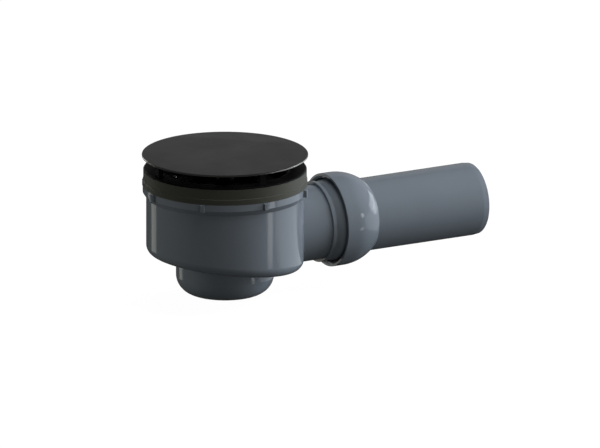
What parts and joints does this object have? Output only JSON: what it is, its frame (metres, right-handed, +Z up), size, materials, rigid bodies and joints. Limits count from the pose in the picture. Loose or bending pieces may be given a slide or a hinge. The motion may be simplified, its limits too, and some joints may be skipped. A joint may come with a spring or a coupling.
{
  "type": "shower tray drain",
  "caption": "Low shower tray drain with a flat round cover, a removable water trap and a ball-jointed round outlet pipe.",
  "frame": {"origin": "on the inlet axis, at the plane where the tray is clamped between the seal and the flange", "axes": "+Z up along the inlet axis, +X horizontally along the outlet pipe"},
  "size_m": [0.2526, 0.1172, 0.0983],
  "materials": {
    "grey_plastic": "smooth moulded, slight gloss",
    "black_plastic": "moulded, satin",
    "seal_rubber": "matt",
    "black_rubber": "matt",
    "cover_black": "satin black coating on pressed steel",
    "stainless": "bright",
    "insert_brass": "machined"
  },
  "bodies": {
    "trap": {"trap_body": "grey_plastic", "tray_seal": "seal_rubber", "clamp_flange": "black_plastic", "clamp_screw_1": "stainless", "clamp_screw_2": "stainless", "clamp_screw_3": "stainless", "clamp_screw_4": "stainless", "threaded_insert_1": "insert_brass", "threaded_insert_2": "insert_brass", "threaded_insert_3": "insert_brass", "threaded_insert_4": "insert_brass"},
    "trap_insert": {"dip_tube": "black_plastic", "dip_o_ring": "black_rubber", "trap_cup": "grey_plastic", "hair_strainer": "black_plastic"},
    "cover": {"cover_plate": "cover_black", "cover_spider": "black_plastic"},
    "swivel_seal": {"ball_seal": "black_rubber"},
    "swivel_ring": {"snap_ring": "black_plastic"},
    "outlet": {"outlet_pipe": "grey_plastic"}
  },
  "joints": [
    {"name": "insert_lift", "type": "slide", "parent": "trap", "child": "trap_insert", "axis": [0, 0, 1], "range_m": [0, 0.095]},
    {"name": "cover_lift", "type": "slide", "parent": "trap_insert", "child": "cover", "axis": [0, 0, 1], "range_m": [0, 0.03]},
    {"name": "ball_turn", "type": "hinge", "parent": "trap", "child": "swivel_seal", "pos_m": [0.0869, 0, -0.047], "axis": [1, 0, 0], "continuous": true},
    {"name": "ball_tilt", "type": "hinge", "parent": "swivel_seal", "child": "swivel_ring", "pos_m": [0.0869, 0, -0.047], "axis": [0, 1, 0], "range_deg": [-11.5, 11.5]},
    {"name": "pipe_spin", "type": "hinge", "parent": "swivel_ring", "child": "outlet", "pos_m": [0.0869, 0, -0.047], "axis": [1, 0, 0], "continuous": true}
  ]
}
